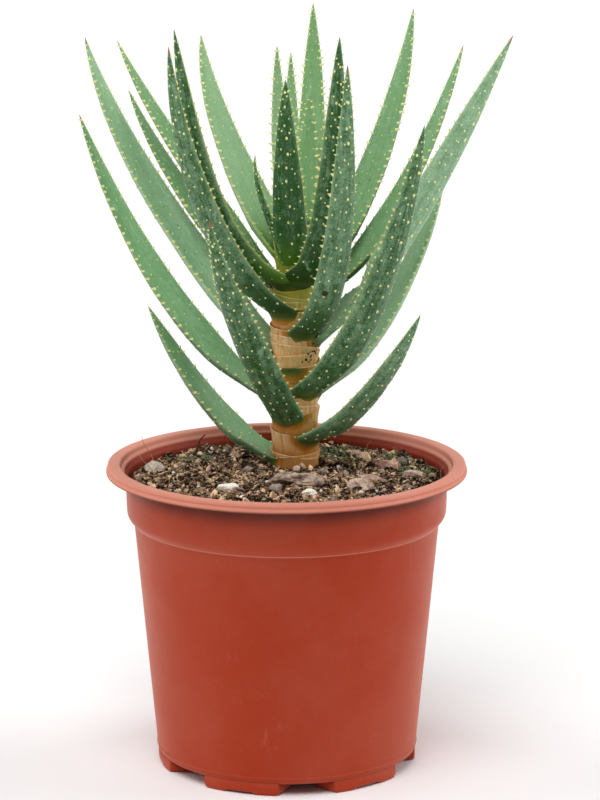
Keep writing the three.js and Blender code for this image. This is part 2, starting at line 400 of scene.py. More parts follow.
def face_out(mesh):
    """Turns every face of the closed bodies outwards."""
    cleaner = bmesh.new()
    cleaner.from_mesh(mesh)
    bmesh.ops.recalc_face_normals(cleaner, faces=cleaner.faces)
    cleaner.to_mesh(mesh)
    cleaner.free()


def tube_faces(rows, columns):
    """Quads between rings of points; each ring closes on itself."""
    faces = []
    for i in range(rows - 1):
        low = i * columns
        for j in range(columns):
            k = (j + 1) % columns
            faces.append((low + j, low + k, low + columns + k, low + columns + j))
    return faces


def capped_tube_faces(rows, columns):
    """The quads between rings of points, and a face across the first ring and the last."""
    first, last = range(columns), range((rows - 1) * columns, rows * columns)
    return [*tube_faces(rows, columns), tuple(first), tuple(last)]


def ball_mesh(subdivisions):
    """Points and triangles of an icosphere of radius 1."""
    ball = bmesh.new()
    bmesh.ops.create_icosphere(ball, subdivisions=subdivisions, radius=1)
    points = [vertex.co.copy() for vertex in ball.verts]
    faces = [[vertex.index for vertex in face.verts] for face in ball.faces]
    ball.free()
    return points, faces


def round_ring(radius, angles, z):
    """Points on a level ring about the origin."""
    return np.stack([radius * np.cos(angles), radius * np.sin(angles), z + 0 * angles], -1)


def revolve(profile, sides):
    """A closed solid of revolution from (radius, z) pairs that start and end on the axis."""
    turn = np.arange(sides) * math.tau / sides
    rings = [round_ring(r, turn, z) for r, z in profile[1:-1]]
    points = np.concatenate(rings + [[[0, 0, profile[0][1]]], [[0, 0, profile[-1][1]]]])
    rows = len(profile) - 2
    faces = tube_faces(rows, sides)
    first, last = rows * sides, rows * sides + 1
    top = (rows - 1) * sides
    for j in range(sides):
        k = (j + 1) % sides
        faces.append((first, k, j))
        faces.append((last, top + j, top + k))
    return points, faces


def rounded(corners, steps=4):
    """An outline whose corners (x, y, radius) are turned into short curves."""
    outline = []
    for i, (x, y, radius) in enumerate(corners):
        here = np.array([x, y])
        if radius == 0 or i in (0, len(corners) - 1):
            outline.append((x, y))
            continue
        before = np.array(corners[i - 1][:2]) - here
        after = np.array(corners[i + 1][:2]) - here
        reach_before = min(radius, np.linalg.norm(before) * 0.49)
        reach_after = min(radius, np.linalg.norm(after) * 0.49)
        a = here + before / np.linalg.norm(before) * reach_before
        b = here + after / np.linalg.norm(after) * reach_after
        for t in np.linspace(0, 1, steps):
            point = (1 - t) ** 2 * a + 2 * t * (1 - t) * here + t * t * b
            outline.append((float(point[0]), float(point[1])))
    return outline


def cut_with(piece, cutters):
    """Takes the cutters out of a piece and throws them away."""
    for cutter in cutters:
        cut = piece.modifiers.new("cut", "BOOLEAN")
        cut.operation = "DIFFERENCE"
        cut.solver = "EXACT"
        cut.object = cutter
    graph = bpy.context.evaluated_depsgraph_get()
    mesh = bpy.data.meshes.new_from_object(piece.evaluated_get(graph))
    piece.modifiers.clear()
    piece.data = mesh
    for cutter in cutters:
        bpy.data.objects.remove(cutter)


def studs(centres, normals, lengthwise, radius, stretch, height, rings, sides=6):
    """Small closed bodies set into a surface: each is a stack of rings under a point.

    rings gives each ring's share of the radius and of the height. The last value returned is
    each point's share of the height.
    """
    centres, normals, lengthwise = (np.asarray(a, float) for a in (centres, normals, lengthwise))
    across = np.cross(normals, lengthwise)
    turn = np.arange(sides) * math.tau / sides
    levels = []
    for scale, lift in rings:
        out = (
            np.cos(turn)[None, :, None] * lengthwise[:, None] * stretch[:, None, None]
            + np.sin(turn)[None, :, None] * across[:, None]
        )
        level = centres[:, None] + out * (radius * scale)[:, None, None]
        levels.append(level + normals[:, None] * (height * lift)[:, None, None])
    floor = centres[:, None] + normals[:, None] * (height * rings[0][1])[:, None, None]
    top = centres[:, None] + normals[:, None] * height[:, None, None]
    points = np.concatenate(levels + [floor, top], axis=1)
    size = points.shape[1]
    one = tube_faces(len(rings), sides)
    base, tip = size - 2, size - 1
    last = (len(rings) - 1) * sides
    for j in range(sides):
        k = (j + 1) % sides
        one.append((base, k, j))
        one.append((tip, last + j, last + k))
    faces = [tuple(v + i * size for v in face) for i in range(len(centres)) for face in one]
    lifts = [lift for _, lift in rings for _ in range(sides)] + [rings[0][1], 1.0]
    return points.reshape(-1, 3), faces, np.tile(lifts, len(centres))


def pebbles(draw, places, sizes, detail=0, roughness=0.25):
    """Many small irregular grains: jittered copies of an icosphere, turned at random.

    The last value returned is how many points each grain has.
    """
    unit, one = (np.array(part) for part in ball_mesh(detail + 1))
    count = len(places)
    lumps = unit[None] * (1 + roughness * draw.normal(size=(count, len(unit), 1)))
    lumps = lumps * (np.asarray(sizes)[:, None, None] * draw.uniform(0.35, 1.7, (count, 1, 3)))
    axes = draw.normal(size=(count, 3, 3))
    turned, _ = np.linalg.qr(axes)
    points = lumps @ turned + np.asarray(places)[:, None]
    faces = (one[None] + (np.arange(count) * len(unit))[:, None, None]).reshape(-1, 3)
    return points.reshape(-1, 3), faces, len(unit)


def thread(points, radii, sides=5):
    """A thin closed tube along points."""
    points = np.asarray(points, float)
    along = np.gradient(points, axis=0)
    along /= np.linalg.norm(along, axis=1)[:, None]
    first = np.cross(along, [0.3, 0.2, 0.93])
    first /= np.linalg.norm(first, axis=1)[:, None]
    second = np.cross(along, first)
    turn = np.arange(sides) * math.tau / sides
    ring = (
        np.cos(turn)[None, :, None] * first[:, None]
        + np.sin(turn)[None, :, None] * second[:, None]
    )
    body = points[:, None] + ring * np.asarray(radii)[:, None, None]
    return body.reshape(-1, 3), capped_tube_faces(len(points), sides)


# ---------------------------------------------------------------- pot


# The outward step under the collar, and the radius within which the pot's mouth opens.
LEDGE_DEPTH = 2.9 * MM
MOUTH_RADIUS = 88 * MM
# Heights of the floor's underside and of its top.
FLOOR_LOW = 6 * MM
FLOOR_HIGH = 7.5 * MM

FOOT_COUNT = 6
FOOT_PITCH = math.tau / FOOT_COUNT
FIRST_FOOT = math.radians(-51)
FOOT_OUTER = 69.2 * MM
FOOT_INNER = 57 * MM
FOOT_HALF_ARC_OUTER = math.radians(17.5)
FOOT_HALF_ARC_INNER = math.radians(23.5)
FOOT_RECESS_HALF_ARC = math.radians(7)
FOOT_RECESS = 1.2 * MM
FOOT_TOP = 6.9 * MM
FOOT_CORNER = 2.6 * MM
DRAIN_CIRCLE = 46 * MM
DRAIN_RADIUS = 5 * MM
DRILL_LENGTH = 8 * MM
DRILL_HEIGHT = 7 * MM


def pot_plastic(settings):
    """Matte moulded plastic, fine grain, pale scuffs, a paler ledge, lip dust, painted light and
    shade.
    """
    finish = Finish("moulded_terracotta_plastic", roughness=0.5, specular=0.12)
    height = finish.node("ShaderNodeSeparateXYZ", None, {0: finish.place()}, output=2)
    cloud = finish.speckle(14, 4, 0.6)
    grain = finish.speckle(1300, 3, 0.8)
    scuff = finish.speckle(120, 5, 0.7, finish.stretched(1, 1, 0.35)).between(0.62, 0.80)
    speck = finish.speckle(1500, 2, 0.5).between(0.70, 0.76)
    lip = height.between(RIM_Z - settings.lip_depth, RIM_Z - 3.2 * MM)
    ledge = RIM_Z - settings.collar_depth - LEDGE_DEPTH
    over = height.between(ledge, ledge + 0.6 * MM)
    pale_ledge_line = height.between(ledge - 0.5 * MM, ledge) * (1.0 - over)
    # Painted shadow under the lip, strongest just below it and gone by 17 mm below the rim.
    shade = height.between(RIM_Z - 17 * MM, RIM_Z - 6 * MM) * (1.0 - lip)
    inside = finish.attribute("inside")
    outside = 1.0 - inside
    # Painted sheen: the outside turns pale where it is seen at a slant.
    slant = finish.node("ShaderNodeLayerWeight", None, {"Blend": 0.5}, output=1)
    painted_sheen = slant * slant * slant * 0.42 * outside
    # Painted shade: a little all over the inside, and strong in the band under the lip.
    painted_shade_mask = inside * 0.35 + shade * 0.95 * outside
    tone = finish.mix(painted_shade_mask, settings.plastic, settings.painted_shade_and_grime)
    tone = finish.mix(grain.between(0.35, 0.65) * 0.12, tone, settings.painted_shade_and_grime)
    # Paler in faint clouds, along the ledge's edge, and on the lip as dust with a painted
    # highlight.
    dusty = cloud.between(0.35, 0.7) * 0.06 + pale_ledge_line * 0.4 + lip * 0.6
    tone = finish.mix(dusty, tone, settings.dust)
    tone = finish.mix(scuff * 0.12 + speck * 0.3, tone, settings.dust)
    finish.paint("Base Color", finish.mix(painted_sheen, tone, settings.dust))
    finish.paint("Roughness", 0.46 + finish.speckle(60, 4).between(0.3, 0.8) * 0.12)
    finish.bump(grain, 0.05 * MM, 0.7)
    return finish


def pot_outline(settings):
    """Half section of the pot, from the underside's centre round the rim to the floor's centre.

    Each corner is a radius from the axis, a height and how far the corner is rounded, in mm.
    """
    wall = settings.wall / MM
    top = RIM_Z / MM
    lip = top - settings.lip_depth / MM
    foot = top - settings.collar_depth / MM
    ledge = foot - LEDGE_DEPTH / MM
    edge = LIP_RADIUS / MM
    underside = FLOOR_LOW / MM
    floor = FLOOR_HIGH / MM
    corners = [
        (0, underside, 0),
        (65.8, underside, 0.5),
        (69.3, 6.6, 1.2),
        (69.8, 9.2, 0.3),
        (70.2, 9.7, 0.25),
        (69.75, 10.2, 0.3),
        (81.1, ledge - 0.9, 0.5),
        (81.6, ledge, 0.4),
        (84.1, ledge + 2.6, 1.6),
        (84.9, foot + 2, 2.0),
        (85.5, lip - 1.6, 0.6),
        (89.4, lip - 0.2, 0.8),
        (89.8, top - wall, 0.6),
        (edge - 1.7, top - wall, 0.5),
        (edge - 1.3, lip + 0.2, 0.3),
        (edge - 0.1, lip, 0.5),
        (edge, lip + 1.5, 0.5),
        (edge - 1.15, lip + 2.2, 0.35),
        (edge - 1.25, lip + 2.8, 0.35),
        (edge - 0.8, lip + 3.3, 0.4),
        (edge - 0.9, top - 0.1, 0.9),
        (90.0, top, 1.6),
        (88.2, top - 0.3, 0.9),
        (87.9, top - 2.9, 0.7),
        (86.2, top - 3.3, 0.8),
        (85.4, top - 5.2, 0.8),
        (84.0, lip - 2.0, 0.8),
        (84.9 - wall, foot + 2, 2.0),
        (81.8 - wall, ledge + 1, 1.5),
        (81.1 - wall, ledge - 2, 1.0),
        (67.6, floor, 1.5),
        (0, floor, 0),
    ]
    return [(r * MM, z * MM) for r, z in rounded(corners)]


def foot_block(azimuth):
    """One foot: an arc of the heel that widens inwards, with rounded lower corners."""
    section = rounded(
        [
            (FOOT_INNER, FOOT_TOP, 0),
            (FOOT_INNER, 0, 1.0 * MM),
            (FOOT_OUTER, 0, 1.3 * MM),
            (FOOT_OUTER + 0.1 * MM, FOOT_TOP, 0),
        ],
        5,
    )
    rows = []
    for q in np.sin(np.linspace(-math.pi / 2, math.pi / 2, 41)):
        row = []
        for r, z in section:
            share = (FOOT_OUTER - r) / (FOOT_OUTER - FOOT_INNER)
            half = FOOT_HALF_ARC_OUTER + share * (FOOT_HALF_ARC_INNER - FOOT_HALF_ARC_OUTER)
            turn = azimuth + q * half
            end = max(0.0, 1 - (1 - abs(q)) * half * r / FOOT_CORNER)
            corner = FOOT_CORNER * (1 - math.sqrt(max(0.0, 1 - end * end)))
            inward = abs(q * half)
            dip = FOOT_RECESS * (1 - float(smoothstep(0.85, 1.1, inward / FOOT_RECESS_HALF_ARC)))
            height = z + (corner + dip) * (1 - z / FOOT_TOP)
            row.append((r * math.cos(turn), r * math.sin(turn), height))
        rows.append(row)
    return np.array(rows).reshape(-1, 3), capped_tube_faces(len(rows), len(section))


class QUIVER_OT_pot(bpy.types.Operator):
    """Turn the nursery pot on its outline, drill its floor and set the six feet under it"""

    bl_idname = "quiver.pot"
    bl_label = "Nursery pot"

    SIDES = 240

    def execute(self, context):
        settings = context.scene.quiver_pot
        plastic = pot_plastic(settings)
        shape = Shape()
        outline = pot_outline(settings)
        half = len(outline) // 2
        inside = [i >= half and r < MOUTH_RADIUS for i, (r, _) in enumerate(outline[1:-1])]
        points, faces = revolve(outline, self.SIDES)
        shape.add(points, faces, inside=np.append(np.repeat(inside, self.SIDES), [0, 0]))
        pot = shape.piece("nursery_pot", [plastic])
        drills = []
        for i in range(FOOT_COUNT):
            turn = FIRST_FOOT + (i + 0.5) * FOOT_PITCH
            x, y = DRAIN_CIRCLE * math.cos(turn), DRAIN_CIRCLE * math.sin(turn)
            place = (x, y, DRILL_HEIGHT)
            bpy.ops.mesh.primitive_cylinder_add(
                vertices=40, radius=DRAIN_RADIUS, depth=DRILL_LENGTH, location=place
            )
            drills.append(context.active_object)
        cut_with(pot, drills)
        feet = Shape()
        for i in range(FOOT_COUNT):
            feet.add(*foot_block(FIRST_FOOT + i * FOOT_PITCH))
        ring = feet.piece("pot_feet", [plastic])
        for made in (pot, ring):
            made.data.transform(Matrix.Translation((POT_X, POT_Y, 0)))
        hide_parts("pot")
        return {"FINISHED"}


# ---------------------------------------------------------------- leaves


class Leaf:
    """A leaf's own space: along it (0 root, 1 tip), across it (-1 to 1) and out from its face."""

    ROOT_RADIUS = 9 * MM
    CROWN_ROOT_RADIUS = 4 * MM
    HANDLE = 0.33
    CLASP = 1.35
    CLASP_END = 0.16
    CORE_RADIUS = 12.0 * MM
    # From this leaf on the stem that the sheaths sit on narrows, by this much a leaf.
    NARROWING_LEAF = 13
    NARROWING = 0.45 * MM
    # How far the sheath's rim stands out from the core.
    RIM_STEP = 1.2 * MM

    def __init__(self, row, number):
        azimuth, height, reach, rise, root_slope, tip_slope, drift, width, roll = row
        self.number = number
        self.turn = math.radians(azimuth)
        self.roll = math.radians(roll)
        self.width = width * MM
        self.coat = WAX[number - 1] if number <= len(WAX) else SPEAR_WAX
        self.out = np.array([math.cos(self.turn), math.sin(self.turn), 0])
        self.side = np.array([-math.sin(self.turn), math.cos(self.turn), 0])
        self.up = np.array([0, 0, 1.0])
        self.axis = np.array([STEM_X, STEM_Y, STEM_BASE_Z + height * MM])
        self.chord = math.hypot(reach, rise) * MM
        self.clasp = WIDE_CLASP.get(number, self.CLASP)
        self.rise_behind = SHEATH_RISE if number < DROPPED_SHEATH else SHEATH_DROP
        start = self.ROOT_RADIUS if number < CROWN_LEAF else self.CROWN_ROOT_RADIUS
        root = self.axis + self.out * start
        tip = root + (self.out * reach + self.up * rise + self.side * drift) * MM
        handle = self.HANDLE * self.chord
        a, b = math.radians(root_slope), math.radians(tip_slope)
        first = root + handle * (self.out * math.cos(a) + self.up * math.sin(a))
        second = tip - handle * (self.out * math.cos(b) + self.up * math.sin(b))
        self.poles = (root, first, second, tip)

    def clasp_at(self, t):
        """How far the blade is drawn round the stem: most at the root, not at all further out."""
        return 1 + (self.clasp - 1) * (1 - smoothstep(0, self.CLASP_END, t))

    def spine(self, t):
        """Places on the leaf's middle line."""
        p, q, r, s = self.poles
        t = t[..., None]
        return (1 - t) ** 3 * p + 3 * (1 - t) ** 2 * t * q + 3 * (1 - t) * t * t * r + t**3 * s

    def tangent(self, t):
        """Directions of the middle line."""
        p, q, r, s = self.poles
        t = t[..., None]
        d = (1 - t) ** 2 * (q - p) + 2 * (1 - t) * t * (r - q) + t * t * (s - r)
        return d / np.linalg.norm(d, axis=-1, keepdims=True)

    def half(self, t):
        """Half the blade's width: widest near the root, a little wavy, pointed at the tip."""
        t = np.clip(t, 0, 1)
        wave = 1 + 0.02 * np.sin(9 * t + self.number) + 0.012 * np.sin(23 * t + 2 * self.number)
        root = 0.80 + 0.20 * smoothstep(0.02, 0.24, t)
        return self.width / 2 * (1 - t**2.2) ** 0.85 * wave * root

    def lift(self, t, c, lower):
        """Height of the face over the spine: a shallow channel above, a rounded keel below."""
        half = self.half(t)
        bulge = np.clip(1 - c * c, 0, 1)
        keel = 0.34 + 0.41 * smoothstep(0, 0.25, t) + 0.1 * smoothstep(0.5, 1, t)
        crown = -0.10 + 0.20 * smoothstep(0.2, 0.9, t)
        rim = 0.05 * half * bulge**0.5
        return np.where(lower, -half * keel * bulge**0.6, half * crown * bulge + rim)

    def point(self, t, c, lift):
        """The place in space of a point given along, across and out from the leaf."""
        t, c, lift = np.broadcast_arrays(*(np.asarray(a, float) for a in (t, c, lift)))
        centre = self.spine(t)
        tangent = self.tangent(t)
        rise = tangent @ self.up
        run = tangent @ self.out
        steep = np.arctan2(rise, run)[..., None]
        normal = -np.sin(steep) * self.out + np.cos(steep) * self.up
        roll = (self.roll * smoothstep(0.0, 0.3, t))[..., None]
        across = self.side * np.cos(roll) + normal * np.sin(roll)
        face = normal * np.cos(roll) - self.side * np.sin(roll)
        offset = (c * self.half(t))[..., None]
        flat = centre + across * offset + face * lift[..., None]
        radius = ((centre - self.axis) @ self.out)[..., None]
        swing = offset * self.clasp_at(t)[..., None] / radius
        ray = self.out * np.cos(swing) + self.side * np.sin(swing)
        drift = ((centre - self.axis) @ self.side)[..., None]
        bent = -np.sin(steep) * ray + np.cos(steep) * self.up
        level = ((centre - self.axis) @ self.up)[..., None]
        wrapped = (
            self.axis + ray * radius + self.side * drift + self.up * level + bent * lift[..., None]
        )
        blend = smoothstep(0.10, 0.36, t)[..., None]
        return wrapped * (1 - blend) + flat * blend

    def core_radius(self):
        """Inner leaves sit on a narrower stem."""
        return self.CORE_RADIUS - self.NARROWING * max(0, self.number - self.NARROWING_LEAF)

    def contact(self):
        """How far along the leaf its margins leave the rim of its sheath."""
        t = np.linspace(0, 0.3, 301)
        reach = (self.spine(t) - self.axis) @ self.out
        return float(np.interp(self.core_radius() + self.RIM_STEP, reach, t))

    def frame_at(self, t, c, lower):
        """Surface point, outward normal and lengthwise direction."""
        step = 1e-3
        here = self.point(t, c, self.lift(t, c, lower))
        along = self.point(t + step, c, self.lift(t + step, c, lower)) - here
        wide = self.point(t, c + step, self.lift(t, c + step, lower)) - here
        normal = np.cross(along, wide)
        normal /= np.linalg.norm(normal, axis=-1, keepdims=True)
        reference = self.point(t, c, self.lift(t, c, lower) + MM) - here
        facing = np.sum(reference * normal, -1, keepdims=True) * np.where(lower, -1, 1)[..., None]
        normal = np.where(facing < 0, -normal, normal)
        along /= np.linalg.norm(along, axis=-1, keepdims=True)
        return here, normal, along


def leaf_skin(settings):
    """Waxy blue-green skin: dark green under a pale bloom, cream thorns, olive root, dry tip."""
    finish = Finish("waxy_leaf_skin", roughness=0.5, specular=0.3)
    along = finish.attribute("along")
    cross = finish.attribute("cross")
    upper = finish.attribute("upper")
    young = finish.attribute("young")
    thorn = finish.attribute("thorn")
    point = finish.attribute("point")
    dry = finish.attribute("dry")
    coat = finish.attribute("coat")
    lengthwise = finish.node(
        "ShaderNodeCombineXYZ", None, {"X": along * 7.0, "Y": cross * 5.0, "Z": coat * 40.0}
    )
    streak = finish.speckle(1.0, 5, 0.6, lengthwise).between(0.35, 0.65)
    blotch = finish.speckle(210, 5, 0.7).between(0.38, 0.68)
    grain = finish.speckle(950, 3, 0.75).between(0.3, 0.7)
    edge = cross * cross
    # Painted shade near the roots, strongest on the inner leaves: less bloom, deeper green and
    # more spots.
    painted_root_shade = (1.0 - along.between(0.03, 0.30)) * (young.between(0.0, 0.08) * 0.8 + 0.2)
    wax = coat * 0.62 + streak * 0.20 + blotch * 0.28 + grain * 0.34 - 0.28
    wax = wax * (1.0 - painted_root_shade * 0.85) + edge.between(0.72, 1.0) * 0.16
    lower = finish.mix(wax, settings.skin, settings.bloom)
    lower = finish.mix(painted_root_shade * (0.9 - coat * 1.2), lower, settings.deep_green_and_root_shade)
    lower = finish.mix(painted_root_shade * young.between(0.55, 0.75) * 0.8, lower, settings.fresh)
    lit = finish.mix(wax * 0.9 + young * 0.1 - 0.1, settings.inner, settings.bloom)
    lit = finish.mix(young * 0.2 + painted_root_shade * 0.3, lit, settings.fresh)
    skin = finish.mix(upper, lower, lit)
    spot = finish.speckle(330, 4, 0.8).between(0.60, 0.70) * (0.5 + painted_root_shade * 0.4)
    skin = finish.mix(spot, skin, settings.deep_green_and_root_shade)
    skin = finish.mix(finish.attribute("scar"), skin, settings.scar)
    scrape = finish.speckle(170, 4, 0.6, finish.stretched(1, 1, 0.25)).between(0.62, 0.68) * 0.45
    skin = finish.mix(scrape, skin, settings.bloom)
    margin = edge.between(0.93, 0.99) * (0.25 + young * 0.5)
    skin = finish.mix(margin, skin, settings.margin)
    root = 1.0 - along.between(0.012, 0.06)
    skin = finish.mix(root * 0.8, skin, settings.root)
    skin = finish.mix(along.between(0.965, 0.99) * dry, skin, settings.dry_tip)
    horn = finish.mix(point.between(0.3, 1.0) * 0.8, settings.thorn, settings.thorn_tip)
    finish.paint("Base Color", finish.mix(thorn, skin, horn))
    finish.paint("Roughness", 0.44 + blotch * 0.14)
    finish.bump(grain * 0.5 + blotch, 0.07 * MM, 0.7)
    return finish


# Rings of a tooth, a tubercle and the wound: share of the radius and of the height.
TOOTH_RINGS = [(1.0, -0.35), (0.78, 0.12), (0.42, 0.52), (0.2, 0.82)]
WART_RINGS = [(1.0, -0.4), (0.95, 0.25), (0.72, 0.68), (0.36, 0.93)]
SCAR_RINGS = [(1.0, -1.0), (0.95, 0.4), (0.8, 0.9), (0.5, 0.7)]
SCAR_HEIGHT = 0.35 * MM
# Rings crowd a little towards the tip, and the last one is too small to see.
RING_CROWDING = 1.12
LAST_RING = 0.9995
# Where along the leaf teeth and tubercles may stand, and the gaps between them.
TOOTH_SPAN = (0.045, 0.985)
TOOTH_GAPS = (4.2 * MM, 7.6 * MM)
WART_STARTS = (0.05, 0.12)
WART_END = 0.96
WART_GAP_BELOW = 8.6 * MM
WART_GAP_ABOVE = 11.0 * MM
# Rows of tubercles, from one margin at -1 to the other at 1.
WART_LANES_BELOW = (-0.78, -0.42, 0.0, 0.42, 0.78)
WART_LANES_ABOVE = (-0.62, 0.08, 0.62)


def add_teeth(shape, leaf, settings, draw):
    """Hooked teeth along both margins, closer together and smaller towards the tip."""
    for edge in (-1.0, 1.0):
        t, end = TOOTH_SPAN
        places = []
        while t < end:
            places.append(t)
            t += draw.uniform(*TOOTH_GAPS) / leaf.chord * (1 - 0.35 * t)
        t = np.array(places)
        c = np.full(len(t), edge)
        here = leaf.point(t, c, 0 * t)
        inside = leaf.point(t, c * 0.8, 0 * t)
        along = leaf.tangent(t)
        out = here - inside
        out /= np.linalg.norm(out, axis=1)[:, None]
        hook = out + along * draw.uniform(0.25, 0.6, (len(t), 1))
        hook /= np.linalg.norm(hook, axis=1)[:, None]
        lengthwise = along - hook * np.sum(along * hook, 1)[:, None]
        lengthwise /= np.linalg.norm(lengthwise, axis=1)[:, None]
        scale = (0.75 + 0.35 * np.sin(math.pi * t)) * draw.uniform(0.75, 1.2, len(t))
        tall = settings.tooth * scale
        foot = here - hook * 0.15 * tall[:, None]
        stretch = np.full(len(t), 1.35)
        points, faces, lifts = studs(
            foot, hook, lengthwise, 0.36 * tall, stretch, tall, TOOTH_RINGS
        )
        shape.add(points, faces, thorn=1.0, point=lifts, along=0.5)


def add_warts(shape, leaf, settings, draw):
    """Cream tubercles in loose rows on the underside, and a few on the upper face."""
    faces_below_and_above = (
        (True, WART_LANES_BELOW, WART_GAP_BELOW),
        (False, WART_LANES_ABOVE, WART_GAP_ABOVE),
    )
    for lower, lanes, face_gap in faces_below_and_above:
        for lane in lanes:
            gap = face_gap * (1.0 if lane else 0.95)
            t = draw.uniform(*WART_STARTS)
            places = []
            while t < WART_END:
                places.append(t)
                t += draw.uniform(0.65, 1.45) * gap / leaf.chord
            t = np.array(places)
            c = np.clip(lane + draw.normal(0, 0.07, len(t)), -0.93, 0.93)
            here, normal, along = leaf.frame_at(t, c, np.full(len(t), lower))
            size = settings.wart * draw.uniform(0.6, 1.1, len(t)) * (1.2 if lane == 0 else 0.9)
            size = size * (0.65 + 0.35 * leaf.width / (22 * MM)) * (1 if lower else 0.8)
            stretch = draw.uniform(1.1, 1.6, len(t))
            points, faces, _ = studs(
                here, normal, along, size, stretch, size * 0.75, WART_RINGS
            )
            shape.add(points, faces, thorn=0.95, along=0.5)


def add_scar(shape, leaf):
    """A dried round wound on the underside, barely raised."""
    t, c = SCAR_PLACE
    here, normal, along = leaf.frame_at(np.array([t]), np.array([c]), np.array([True]))
    wide, high = np.array([SCAR_RADIUS]), np.array([SCAR_HEIGHT])
    points, faces, _ = studs(here, normal, along, wide, np.ones(1), high, SCAR_RINGS, 14)
    shape.add(points, faces, scar=0.9, along=0.5)


def add_blade(shape, leaf, rows=120, columns=22):
    """The leaf's skin: rings of points from the root, inside the stem, to the pointed tip."""
    t = 1 - np.linspace(1, 0, rows) ** RING_CROWDING
    t[-1] = LAST_RING
    swing = np.linspace(0, math.pi, columns // 2, endpoint=False)
    upper_c, lower_c = np.cos(swing), -np.cos(swing)
    c = np.concatenate([upper_c, lower_c])
    lower = np.concatenate([np.zeros(len(upper_c), bool), np.ones(len(lower_c), bool)])
    tt, cc = np.meshgrid(t, c, indexing="ij")
    below = np.broadcast_to(lower, tt.shape)
    lift = leaf.lift(tt, cc, below)
    shape.add(
        leaf.point(tt, cc, lift),
        capped_tube_faces(rows, columns),
        along=tt.reshape(-1),
        cross=cc.reshape(-1),
        upper=(~below & (np.abs(cc) < 0.995)).astype(float).reshape(-1),
        coat=leaf.coat,
        young=float(np.clip((leaf.number - OLDEST_YOUNG) / YOUNG_SPAN, 0, 1)),
        dry=1.0 if leaf.number in DRY_TIPS else 0.0,
    )


def rough_ring(angles, z, seed, scale=2.2):
    """Gentle unevenness round a ring."""
    heights = np.broadcast_to(z, angles.shape) * 120 + seed
    places = zip(np.cos(angles) * scale, np.sin(angles) * scale, heights)
    return np.array([noise.noise(Vector(place)) for place in places])


SHEATH_COLUMNS = 96
SHEATH_ROWS = 26
# From a sheath's rim down to its hidden bottom, where it tapers in.
SHEATH_DEPTH = 17 * MM
BOTTOM_TAPER = 2.5 * MM
# The tube starts inside the core's radius and flares out towards the rim.
SHEATH_INSET = 0.5 * MM
SHEATH_FLARE = 1.9 * MM
FLARE_HEIGHT = 6.5 * MM
UNEVENNESS = 0.45 * MM
# How far the sheath swells under the blade, and the band below the rim that its wear covers.
BLADE_SWELL = 2.6 * MM
RIM_BAND = 12 * MM
# Rings that turn the rim's edge inwards: how far in from the edge and how far down.
SHEATH_LIP = ((0.28 * MM, -0.12 * MM), (0.75 * MM, 0.9 * MM), (3.0 * MM, 1.3 * MM))
# From the stem's foot to its top, over which its colour turns younger.
STEM_LENGTH = 116 * MM


def add_sheath(shape, leaf, core, line, under, wrap, finish, bladed=1.0, greened=1.0):
    """A leaf's sheath: a tube round the stem that flares to a thin rim and swells into the blade.

    line gives the rim's height at an angle from the blade, and under the height of the blade's
    underside at a share of wrap, the half angle that the blade takes up.
    """
    angles = np.linspace(-math.pi, math.pi, SHEATH_COLUMNS, endpoint=False)
    share = np.clip(angles / wrap, -1, 1)
    dome = (1 - share**2) ** 0.6 * bladed
    rim = line(angles)
    below = under(share)
    hidden = (1 - smoothstep(0.72, 1.02, np.abs(angles) / wrap)) * bladed
    top = rim * (1 - hidden) + (below + 2.2 * MM) * hidden
    low = float(rim.min()) - SHEATH_DEPTH
    seed = leaf.number * 5.3
    heading = angles + leaf.turn
    near = 1 - smoothstep(0.75, 1.55, np.abs(angles) / wrap)
    rings, rims, greens = [], [], []
    for q in np.linspace(0, 1, SHEATH_ROWS):
        z = low + (top - low) * q
        gap = np.maximum(rim - z, 0)
        swell = smoothstep(below - 6.5 * MM, below + 2 * MM, z) ** 1.3
        radius = core - SHEATH_INSET + SHEATH_FLARE * np.exp(-gap / FLARE_HEIGHT)
        radius = radius + UNEVENNESS * rough_ring(heading, z, seed)
        radius = radius + BLADE_SWELL * dome * swell
        radius = radius - BOTTOM_TAPER * (1 - smoothstep(0, 0.2, q))
        rings.append(round_ring(radius, heading, z - leaf.axis[2]))
        rims.append(1 - np.clip(gap / RIM_BAND, 0, 1))
        greens.append(smoothstep(below - 9 * MM, below + 0.5 * MM, z) * near * greened)
    edge = radius
    for inward, drop in SHEATH_LIP:
        rings.append(round_ring(edge - inward, heading, top - drop - leaf.axis[2]))
        rims.append(np.ones(SHEATH_COLUMNS))
        greens.append(greens[-1])
    points = np.concatenate(rings) + leaf.axis
    shape.add(
        points,
        capped_tube_faces(len(rings), SHEATH_COLUMNS),
        finish=finish,
        rim=np.concatenate(rims),
        green=np.concatenate(greens),
        up=np.clip((points[:, 2] - STEM_BASE_Z) / STEM_LENGTH, 0, 1),
        band=(leaf.number * 0.37) % 1.0,
    )


def leaf_sheath(shape, leaf, finish):
    """The sheath that carries a leaf's blade."""
    t = leaf.contact()
    core = leaf.core_radius()
    wrap = float(leaf.half(t) * leaf.clasp_at(t)) / (core + leaf.RIM_STEP)
    left = float(leaf.point(t, 1.0, 0.0)[2])
    right = float(leaf.point(t, -1.0, 0.0)[2])

    def line(angles):
        swing = np.clip(np.sin(angles) / math.sin(min(wrap, 1.5)), -1, 1)
        swing = np.where(np.cos(angles) < 0, np.sin(angles), swing)
        level = (left + right) / 2 + (left - right) / 2 * swing
        return level + leaf.rise_behind * (1 - np.cos(angles)) / 2

    def under(share):
        return leaf.point(t, share, leaf.lift(t, share, np.full(share.shape, True)))[..., 2]

    add_sheath(shape, leaf, core, line, under, wrap, finish)


